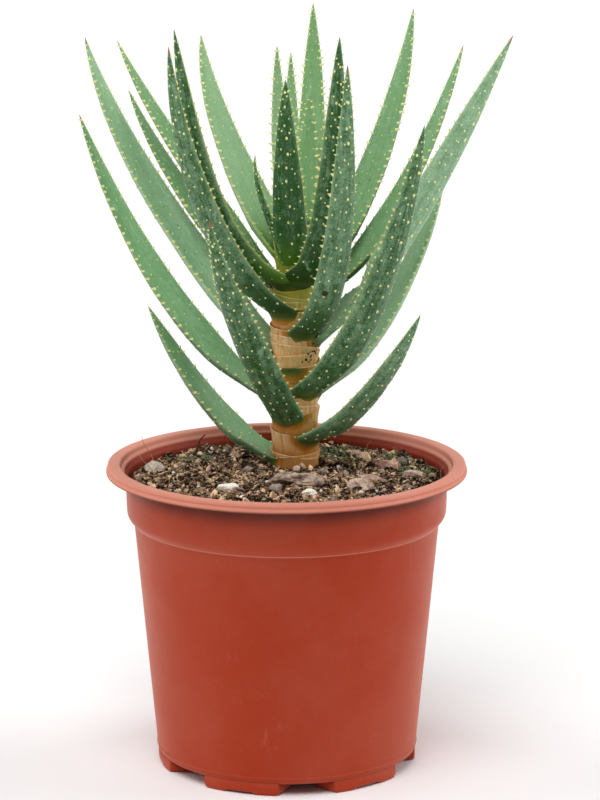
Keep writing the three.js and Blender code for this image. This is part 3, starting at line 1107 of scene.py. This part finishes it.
class QUIVER_OT_leaves(bpy.types.Operator):
    """Grow each leaf with its clasping root, marginal teeth and tubercles"""

    bl_idname = "quiver.leaves"
    bl_label = "Leaves"

    SEED = 100

    def execute(self, context):
        settings = context.scene.quiver_leaf
        skin = leaf_skin(settings)
        bark = stem_bark(context.scene.quiver_stem)
        for number, row in enumerate(LEAVES, 1):
            draw = np.random.default_rng(self.SEED + number)
            leaf = Leaf(row, number)
            shape = Shape()
            add_blade(shape, leaf)
            leaf_sheath(shape, leaf, finish=1)
            add_teeth(shape, leaf, settings, draw)
            add_warts(shape, leaf, settings, draw)
            if number == SCARRED_LEAF:
                add_scar(shape, leaf)
            node = f"leaf_{number:02d}"
            made = shape.piece(f"spined_{node}", [skin, bark])
            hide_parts(node)
        spears = Shape()
        for number, row in enumerate(SPEARS, len(LEAVES) + 1):
            draw = np.random.default_rng(self.SEED + number)
            spear = Leaf(row, number)
            add_blade(spears, spear, rows=60, columns=16)
            add_teeth(spears, spear, settings, draw)
        made = spears.piece("crown_spears", [skin])
        return {"FINISHED"}


# ---------------------------------------------------------------- stem


def stem_bark(settings):
    """Dry leaf bases: tan with fine upright strokes, green by the blades, pale at the rims."""
    finish = Finish("dry_leaf_base", roughness=0.6, specular=0.3)
    rim = finish.attribute("rim")
    band = finish.attribute("band")
    green = finish.attribute("green")
    height = finish.attribute("up")
    up = height.between(0.66, 0.86)
    stroke = finish.speckle(520, 5, 0.65, finish.stretched(1, 1, 0.1))
    cloud = finish.speckle(95, 4, 0.6)
    dry = stroke.between(0.3, 0.72) * 0.6 + band * 0.5 - 0.1
    tone = finish.mix(dry, settings.tan, settings.pale)
    tone = finish.mix(green.between(0.0, 0.4), tone, settings.orange)
    foot = 1.0 - height.between(0.0, 0.13)
    tone = finish.mix(foot * 0.75, tone, settings.orange)
    tone = finish.mix(cloud.between(0.45, 0.75) * 0.35, tone, settings.shade)
    crack = finish.speckle(420, 3, 0.6, finish.stretched(1, 1, 0.12)).between(0.56, 0.66)
    tone = finish.mix(crack * 0.42, tone, settings.shade)
    tone = finish.mix((1.0 - rim.between(0.1, 0.7)) * 0.6, tone, settings.orange)
    # Painted shade low on each sheath, more than about 8 mm below its rim.
    tone = finish.mix((1.0 - rim.between(0.0, 0.3)) * 0.5, tone, settings.shade)
    tone = finish.mix(up * 0.8, tone, settings.young)
    tone = finish.mix((green + up * 0.25).between(0.45, 0.85), tone, settings.olive)
    tone = finish.mix((green + up * 0.2).between(0.78, 1.0) * 0.85, tone, settings.green)
    torn = cloud.between(0.45, 0.62) * (0.55 - up * 0.5)
    tone = finish.mix(rim.between(0.96, 0.995) * torn, tone, settings.paper)
    finish.paint("Base Color", tone)
    finish.bump(stroke + cloud * 0.6, 0.3 * MM, 0.9)
    return finish


class OldSheath:
    """A sheath that has lost its blade: where it points and how high its rim stands."""

    def __init__(self, azimuth, height, number):
        self.turn = math.radians(azimuth)
        self.number = number
        self.axis = np.array([STEM_X, STEM_Y, STEM_BASE_Z + height * MM])


class QUIVER_OT_stem(bpy.types.Operator):
    """Set the bare stem in the soil and wrap it in the sheaths of fallen leaves"""

    bl_idname = "quiver.stem"
    bl_label = "Stem"

    # Old sheaths without a blade: azimuth in degrees, height in millimetres, and how green.
    OLD_SHEATHS = [
        (-20, 8, 0.0),
        (60, 34, 0.0),
        (-125, 57, 0.95),
        (20, 67, 0.0),
        (-150, 92, 0.0),
    ]
    OLD_CORE_RADIUS = 11.9 * MM
    OLD_WRAP = 0.9
    # Old sheaths are numbered from here, so that each has its own unevenness and shade.
    FIRST_OLD_NUMBER = 31
    # The core that the sheaths wrap: radius, height above the foot and rounding, in millimetres.
    CORE = [
        (0, -30, 0),
        (9.2, -30, 1),
        (10.6, -4, 6),
        (11.4, 12, 6),
        (11.2, 90, 6),
        (5, 104, 2),
        (0, 104, 0),
    ]
    CORE_SIDES = 72
    # The buried foot stands aside by this much, and the stem is upright from this height.
    LEAN = 1.6 * MM
    UPRIGHT_FROM = 40 * MM
    # Dark specks on the stem: azimuth in degrees and height in millimetres.
    SPECKS = [
        (-62, 60), (-57, 63), (-50, 61.5), (-66, 62.5), (-44, 64), (-38, 67), (-33, 66),
        (-48, 59.5), (-72, 59), (-41, 68.5), (-36, 63.5), (-55, 58.5), (-30, 69),
    ]
    SPECK_CIRCLE = 12.9 * MM
    SPECK_SEED = 5

    def execute(self, context):
        settings = context.scene.quiver_stem
        bark = stem_bark(settings)
        shape = Shape()
        profile = [(r * MM, z * MM) for r, z in rounded(self.CORE)]
        points, faces = revolve(profile, self.CORE_SIDES)
        points[:, 0] += self.LEAN * (1 - smoothstep(0, self.UPRIGHT_FROM, points[:, 2]))
        points += (STEM_X, STEM_Y, STEM_BASE_Z)
        shape.add(points, faces, band=0.3, rim=0.2)
        for i, (azimuth, height, green) in enumerate(self.OLD_SHEATHS):
            sheath = OldSheath(azimuth, height, self.FIRST_OLD_NUMBER + i)
            level = sheath.axis[2]

            def line(angles):
                return level - 1.8 * MM * np.cos(angles) + 0.3 * MM * np.sin(3 * angles)

            def under(share):
                return np.full(share.shape, level - 3 * MM)

            core, wrap = self.OLD_CORE_RADIUS, self.OLD_WRAP
            add_sheath(shape, sheath, core, line, under, wrap, 0, bladed=0.0, greened=green)
        stem = shape.piece("ringed_stem", [bark])
        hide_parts("stem")
        draw = np.random.default_rng(self.SPECK_SEED)
        azimuths, heights = np.array(self.SPECKS).T
        ring = round_ring(self.SPECK_CIRCLE, np.radians(azimuths), heights * MM)
        places = ring + (STEM_X, STEM_Y, STEM_BASE_Z)
        sizes = draw.uniform(0.45, 0.95, len(places)) * MM
        points, faces, _ = pebbles(draw, places, sizes, roughness=0.2)
        specks = Shape()
        specks.add(points, faces)
        dark = tinted("dark_speck", (0.01,) * 3, (0.04,) * 3, 900)
        specks.piece("stem_specks", [dark])
        return {"FINISHED"}


# ---------------------------------------------------------------- soil


def soil_height(x, y):
    """Height of the soil at a place given from the pot's axis: a mound with lumps."""
    share = min(1.0, math.hypot(x, y) / SOIL_RADIUS)
    mound = SOIL_EDGE_Z + SOIL_CROWN * (1 - share * share)
    coarse = noise.noise(Vector((x * 55, y * 55, 3.1)))
    fine = noise.noise(Vector((x * 190, y * 190, 7.7)))
    finer = noise.noise(Vector((x * 520, y * 520, 1.3)))
    return mound + (1.6 * coarse + 1.2 * fine + 0.6 * finer) * MM


def soil_finish(settings):
    """Damp dark peat with drier brown crumbs."""
    finish = Finish("potting_mix", roughness=0.95, specular=0.15)
    grain = finish.speckle(600, 6, 0.7)
    patch = finish.speckle(60, 4, 0.6)
    tone = finish.attribute("tone")
    dryness = grain.between(0.46, 0.60) * 0.6 + patch.between(0.4, 0.65) * 0.35 + tone * 1.3 - 0.5
    finish.paint("Base Color", finish.mix(dryness, settings.dark, settings.light))
    finish.bump(grain, 0.5 * MM, 0.9)
    return finish


def tinted(name, shade, dust, scale, roughness=0.9):
    """Rough mineral or bark: a shade under dust, with pits."""
    finish = Finish(name, roughness=roughness, specular=0.25)
    pits = finish.speckle(scale, 6, 0.7)
    broad = finish.speckle(scale * 0.22, 3, 0.6)
    dusty = pits.between(0.35, 0.7) * 0.55 + broad.between(0.35, 0.7) * 0.35
    finish.paint("Base Color", finish.mix(dusty, shade, dust))
    finish.bump(pits, 0.45 * MM, 0.9)
    return finish


def mineral_finishes():
    """The finishes of stones, grit, moss and litter, by kind."""
    return {
        "pumice": tinted("pumice", (0.40, 0.31, 0.24), (0.95, 0.85, 0.74), 700),
        "perlite": tinted("perlite", (0.92, 0.82, 0.66), (1.0, 0.99, 0.95), 500),
        "grey": tinted("grey_grit", (0.15, 0.11, 0.085), (0.55, 0.46, 0.38), 500),
        "beige": tinted("beige_stone", (0.30, 0.17, 0.12), (0.95, 0.76, 0.62), 420),
        "pink": tinted("pink_stone", (0.42, 0.18, 0.13), (0.96, 0.70, 0.57), 420),
        "bark": tinted("crumbly_clump", (0.08, 0.045, 0.03), (0.95, 0.72, 0.56), 380),
        "moss": tinted("moss_specks", (0.012, 0.032, 0.008), (0.30, 0.42, 0.20), 700),
        "fibre": tinted("dry_fibre", (0.14, 0.075, 0.035), (0.66, 0.44, 0.26), 900),
        "twig": tinted("dark_twig", (0.012, 0.008, 0.006), (0.06, 0.035, 0.022), 900),
    }


class QUIVER_OT_soil(bpy.types.Operator):
    """Fill the pot with soil whose surface is mounded and lumpy"""

    bl_idname = "quiver.soil"
    bl_label = "Soil"

    RINGS = 190
    SIDES = 360
    # The surface runs from a small ring round the axis to just short of the wall.
    CENTRE_RADIUS = 0.4 * MM
    EDGE_GAP = 0.9 * MM
    # Below the surface the soil follows the wall's inside: radius and height.
    SKIRT = [
        (83 * MM, SOIL_EDGE_Z - 3 * MM),
        (83 * MM, 136 * MM),
        (78.2 * MM, 126 * MM),
        (67.3 * MM, 8 * MM),
    ]
    BED_TONE = 0.16

    def execute(self, context):
        settings = context.scene.quiver_soil
        radii = np.linspace(self.CENTRE_RADIUS, SOIL_RADIUS - self.EDGE_GAP, self.RINGS)
        turn = np.arange(self.SIDES) * math.tau / self.SIDES
        rings = [round_ring(r, turn, 0.0) for r in radii]
        for ring in rings:
            ring[:, 2] = [soil_height(x, y) for x, y, _ in ring]
        rings += [round_ring(r, turn, z) for r, z in self.SKIRT]
        shape = Shape()
        points = np.concatenate(rings) + (POT_X, POT_Y, 0)
        shape.add(points, capped_tube_faces(len(rings), self.SIDES), tone=self.BED_TONE)
        soil = shape.piece("soil_bed", [soil_finish(settings)])
        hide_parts("soil")
        return {"FINISHED"}


def scatter(draw, count, reach, clear=13.5 * MM):
    """Places on the soil, from the pot's axis, that miss the stem."""
    places = []
    while len(places) < count:
        x, y = draw.uniform(-reach, reach, 2)
        near = math.hypot(x + POT_X - STEM_X - 2 * MM, y + POT_Y - STEM_Y)
        if math.hypot(x, y) < reach and near > clear:
            places.append((x, y))
    return places


def seated(places, sizes, lift):
    """Places on the soil, lifted by a share of each grain's size."""
    return [
        (POT_X + x, POT_Y + y, soil_height(x, y) + size * lift)
        for (x, y), size in zip(places, sizes)
    ]


class QUIVER_OT_crumbs(bpy.types.Operator):
    """Strew the soil with loose crumbs, pale grit and moss"""

    bl_idname = "quiver.crumbs"
    bl_label = "Crumbs, grit and moss"

    CRUMB_SEED = 7
    # Pale grains: kind, slot, share of the grains and seed.
    GRIT = [
        ("perlite", "perlite", 0.30, 11),
        ("grey", "stone", 0.40, 12),
        ("beige", "pale_stone", 0.30, 13),
    ]
    # Patches of moss, from the pot's axis: x, y and spread in millimetres, and number of specks.
    MOSS = [(70, 8, 11, 380), (60, 40, 9, 180), (26, 38, 15, 800), (-50, 30, 12, 160)]
    MOSS_SEED = 17

    def execute(self, context):
        settings = context.scene.quiver_soil
        finishes = mineral_finishes()
        crumb = soil_finish(settings)
        draw = np.random.default_rng(self.CRUMB_SEED)
        count = settings.crumbs
        places = scatter(draw, count, SOIL_RADIUS - 2.2 * MM)
        sizes = np.clip(draw.lognormal(math.log(0.74), 0.42, count), 0.35, 2.4) * MM
        points, faces, per = pebbles(draw, seated(places, sizes, 0.35), sizes)
        tones = np.repeat(draw.beta(0.4, 0.9, count), per)
        shape = Shape()
        shape.add(points, faces, tone=tones)
        made = shape.piece("soil_crumbs", [crumb], smooth=False)
        for kind, slot, share, seed in self.GRIT:
            draw = np.random.default_rng(seed)
            grains = int(settings.grit * share)
            places = scatter(draw, grains, SOIL_RADIUS - 3 * MM)
            sizes = np.clip(draw.lognormal(math.log(0.85), 0.4, grains), 0.4, 2.0) * MM
            points, faces, _ = pebbles(draw, seated(places, sizes, 0.6), sizes, 1, 0.12)
            shape = Shape()
            shape.add(points, faces)
            shape.piece(f"loose_{kind}_grit", [finishes[kind]])
        draw = np.random.default_rng(self.MOSS_SEED)
        places, sizes = [], []
        for x, y, spread, number in self.MOSS:
            for dx, dy in draw.normal(0, spread * 0.5, (number, 2)):
                spot = ((x + dx) * MM, (y + dy) * MM)
                if math.hypot(*spot) < SOIL_RADIUS - 2.5 * MM:
                    places.append(spot)
                    sizes.append(draw.uniform(0.35, 0.9) * MM)
        points, faces, _ = pebbles(draw, seated(places, sizes, 1.0), sizes, roughness=0.3)
        shape = Shape()
        shape.add(points, faces)
        shape.piece("moss_specks", [finishes["moss"]])
        return {"FINISHED"}


class QUIVER_OT_stones(bpy.types.Operator):
    """Shape the larger stones and the bark clump where the frame has them"""

    bl_idname = "quiver.stones"
    bl_label = "Stones"

    # Kinds of stone: slot, number of flat facets, and how lumpy the surface is.
    KINDS = {
        "pumice": ("pumice", 9, 0.08),
        "perlite": ("perlite", 14, 0.16),
        "grey": ("stone", 12, 0.06),
        "beige": ("pale_stone", 13, 0.05),
        "pink": ("pink_stone", 13, 0.05),
        "bark": ("bark", 16, 0.42),
    }
    FACET_DEPTHS = (0.62, 0.9)
    # A stone's surface stays between these shares of its box.
    SHALLOW, PROUD = 0.5, 1.08
    SEED = 60

    def execute(self, context):
        finishes = mineral_finishes()
        ball, faces = ball_mesh(5)
        for number, (node, kind) in enumerate(STONES):
            slot, facet_count, lumpy = self.KINDS[kind]
            low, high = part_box(node)
            centre = (Vector(low) + Vector(high)) / 2
            half = (Vector(high) - Vector(low)) / 2
            draw = np.random.default_rng(self.SEED + number)
            facets = draw.normal(size=(facet_count, 3))
            facets /= np.linalg.norm(facets, axis=1)[:, None]
            depths = draw.uniform(*self.FACET_DEPTHS, facet_count)
            seed = Vector((number * 3.7, number * 1.9, 0))
            points = []
            for p in ball:
                facing = np.maximum(facets @ np.array(p), 0.05)
                cut = min(1.0, float(np.min(depths / facing)))
                broad = noise.noise(p * 1.5 + seed)
                fine = noise.noise(p * 4.5 + seed)
                pit = noise.noise(p * 12 + seed)
                grow = 1.12 * cut + lumpy * broad + lumpy * 0.5 * fine + 0.04 * pit
                grow = max(self.SHALLOW, min(grow, self.PROUD))
                points.append(p * half * grow + centre)
            shape = Shape()
            shape.add(points, faces)
            made = shape.piece(f"{node}_rough", [finishes[kind]])
            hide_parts(node)
        return {"FINISHED"}


class QUIVER_OT_litter(bpy.types.Operator):
    """Lay root fibres, straws and a dark twig on the soil"""

    bl_idname = "quiver.litter"
    bl_label = "Fibres and twig"

    SEED = 23
    ROOT_FIBRES = 70
    # Short bits by kind and number.
    BITS = (("fibre", 2600), ("twig", 1100))
    # Straws and the twig, from the pot's axis: foot x and y, top x and y, lift above the soil
    # and radius, in millimetres.
    STRAWS = [
        ("straw", -71, 20, -78, 26, 16, 0.28),
        ("straw", -70, 0, -79, 18, 8, 0.22),
        ("straw", 62, 42, 58, 44, 6, 0.22),
        ("straw", 41, 44, 46, 50, 7, 0.22),
        ("straw", 80, -2, 84, 8, 6, 0.22),
        ("straw", 30, 0, 36, -20, 2, 0.3),
        ("twig", -52, 42, -45, 64, 7, 0.8),
    ]

    def execute(self, context):
        finishes = mineral_finishes()
        draw = np.random.default_rng(self.SEED)
        shape = Shape()
        for x, y in scatter(draw, self.ROOT_FIBRES, SOIL_RADIUS - 12 * MM, 16 * MM):
            heading = draw.uniform(0, math.tau)
            span = draw.uniform(5, 14) * MM
            bend = draw.uniform(-0.9, 0.9)
            line = []
            for s in np.linspace(0, 1, 9):
                angle = heading + bend * s
                px = x + span * s * math.cos(angle)
                py = y + span * s * math.sin(angle)
                hop = 1.4 * MM * math.sin(math.pi * s)
                line.append((POT_X + px, POT_Y + py, soil_height(px, py) + 0.5 * MM + hop))
            radius = draw.uniform(0.12, 0.26) * MM
            shape.add(*thread(line, np.full(len(line), radius)))
        shape.piece("root_fibres", [finishes["fibre"]])
        for kind, number in self.BITS:
            shape = Shape()
            for x, y in scatter(draw, number, SOIL_RADIUS - 6 * MM, 14 * MM):
                heading = draw.uniform(0, math.tau)
                span = draw.uniform(1.6, 5.0) * MM
                tilt = draw.uniform(-0.15, 0.5)
                foot = Vector((POT_X + x, POT_Y + y, soil_height(x, y) + 0.7 * MM))
                ray = Vector((math.cos(heading), math.sin(heading), tilt)) * span
                line = [foot + ray * s for s in (-0.5, 0.0, 0.5)]
                thick = draw.uniform(0.18, 0.48) * MM
                shape.add(*thread(line, np.array([0.6, 1.0, 0.5]) * thick, 4))
            bits = shape.piece(f"short_{kind}_bits", [finishes[kind]], smooth=False)
        groups = {"straw": Shape(), "twig": Shape()}
        for kind, x0, y0, x1, y1, lift, radius in self.STRAWS:
            base = soil_height(x0 * MM, y0 * MM)
            line = []
            for s in np.linspace(0, 1, 11):
                x = (x0 + (x1 - x0) * s + 0.8 * math.sin(math.tau * s)) * MM
                y = (y0 + (y1 - y0) * s) * MM
                line.append((POT_X + x, POT_Y + y, base + ((lift + 1) * s**0.8 - 1) * MM))
            taper = np.linspace(1, 0.45, len(line)) * radius * MM
            groups[kind].add(*thread(line, taper, 7))
        straws = groups["straw"].piece("dry_straws", [finishes["fibre"]])
        twig = groups["twig"].piece("dark_twig", [finishes["twig"]])
        return {"FINISHED"}


# ---------------------------------------------------------------- stage


class QUIVER_OT_stage(bpy.types.Operator):
    """Lay the plain pale floor and set up soft studio light and the camera"""

    bl_idname = "quiver.stage"
    bl_label = "Stage"

    # Broad soft lights: name, azimuth and height that they shine from and spread, in degrees,
    # and strength.
    LIGHTS = [
        ("front_top", -105, 62, 40, 1.75),
        ("left_side", 168, 24, 45, 1.15),
        ("right_side", 12, 24, 45, 1.5),
        ("back_top", 90, 30, 60, 0.5),
    ]
    LIGHT_DISTANCE = 3
    WORLD_STRENGTH = 0.24
    FLOOR_SIZE = 60
    SENSOR_WIDTH = 36

    def execute(self, context):
        settings = context.scene.quiver_stage
        scene = context.scene
        bpy.ops.mesh.primitive_plane_add(size=self.FLOOR_SIZE, location=(0, 0, 0))
        floor = context.active_object
        floor.name = "floor"
        paint = Finish("plain_floor", roughness=0.9, specular=0.1)
        paint.shader.inputs["Base Color"].default_value = (*settings.floor, 1)
        floor.data.materials.append(paint.material)
        world = bpy.data.worlds.new("studio")
        world.use_nodes = True
        scene.world = world
        background = world.node_tree.nodes["Background"]
        background.inputs["Color"].default_value = (1, 1, 1, 1)
        background.inputs["Strength"].default_value = self.WORLD_STRENGTH
        target = Vector((POT_X + settings.aside, POT_Y, RIM_Z + settings.above_rim))
        for name, azimuth, height, spread, strength in self.LIGHTS:
            lamp = bpy.data.lights.new(name, "SUN")
            lamp.angle = math.radians(spread)
            lamp.energy = strength
            holder = bpy.data.objects.new(name, lamp)
            across, up = math.radians(azimuth), math.radians(height)
            level = math.cos(up)
            source = Vector((math.cos(across) * level, math.sin(across) * level, math.sin(up)))
            holder.rotation_euler = source.to_track_quat("Z", "Y").to_euler()
            holder.location = source * self.LIGHT_DISTANCE
            context.collection.objects.link(holder)
        lens = bpy.data.cameras.new("camera")
        lens.lens = settings.lens
        lens.sensor_width = self.SENSOR_WIDTH
        lens.clip_start = 0.05
        lens.clip_end = 100
        camera = bpy.data.objects.new("camera", lens)
        back = Vector((0, -math.cos(settings.pitch), math.sin(settings.pitch)))
        camera.location = target + back * settings.distance
        camera.rotation_euler = (-back).to_track_quat("-Z", "Y").to_euler()
        context.collection.objects.link(camera)
        scene.camera = camera
        scene.view_settings.view_transform = "Standard"
        return {"FINISHED"}


# ---------------------------------------------------------------- add-on


class QUIVER_PT_sidebar(bpy.types.Panel):
    """Lists the parts of the potted quiver tree and their settings"""

    bl_label = "Quiver Tree"
    bl_idname = "QUIVER_PT_sidebar"
    bl_space_type = "VIEW_3D"
    bl_region_type = "UI"
    bl_category = "Quiver Tree"

    def draw(self, context):
        for group, operators in PARTS:
            box = self.layout.box()
            settings = getattr(context.scene, group)
            for name in settings.__annotations__:
                box.prop(settings, name)
            for operator in operators:
                box.operator(operator.bl_idname)


SETTINGS = {
    "quiver_pot": PotSettings,
    "quiver_stem": StemSettings,
    "quiver_leaf": LeafSettings,
    "quiver_soil": SoilSettings,
    "quiver_stage": StageSettings,
}
PARTS = [
    ("quiver_pot", [QUIVER_OT_pot]),
    ("quiver_soil", [QUIVER_OT_soil, QUIVER_OT_crumbs, QUIVER_OT_stones, QUIVER_OT_litter]),
    ("quiver_stem", [QUIVER_OT_stem]),
    ("quiver_leaf", [QUIVER_OT_leaves]),
    ("quiver_stage", [QUIVER_OT_stage]),
]
OPERATORS = [operator for _, operators in PARTS for operator in operators]
CLASSES = [*SETTINGS.values(), *OPERATORS, QUIVER_PT_sidebar]


def register():
    for kind in CLASSES:
        bpy.utils.register_class(kind)
    for name, group in SETTINGS.items():
        setattr(bpy.types.Scene, name, bpy.props.PointerProperty(type=group))


def unregister():
    for name in SETTINGS:
        delattr(bpy.types.Scene, name)
    for kind in reversed(CLASSES):
        bpy.utils.unregister_class(kind)


def main():
    register()
    bpy.ops.quiver.stage()
    bpy.ops.quiver.pot()
    bpy.ops.quiver.soil()
    bpy.ops.quiver.crumbs()
    bpy.ops.quiver.stones()
    bpy.ops.quiver.litter()
    bpy.ops.quiver.stem()
    bpy.ops.quiver.leaves()


if __name__ == "__main__":
    main()
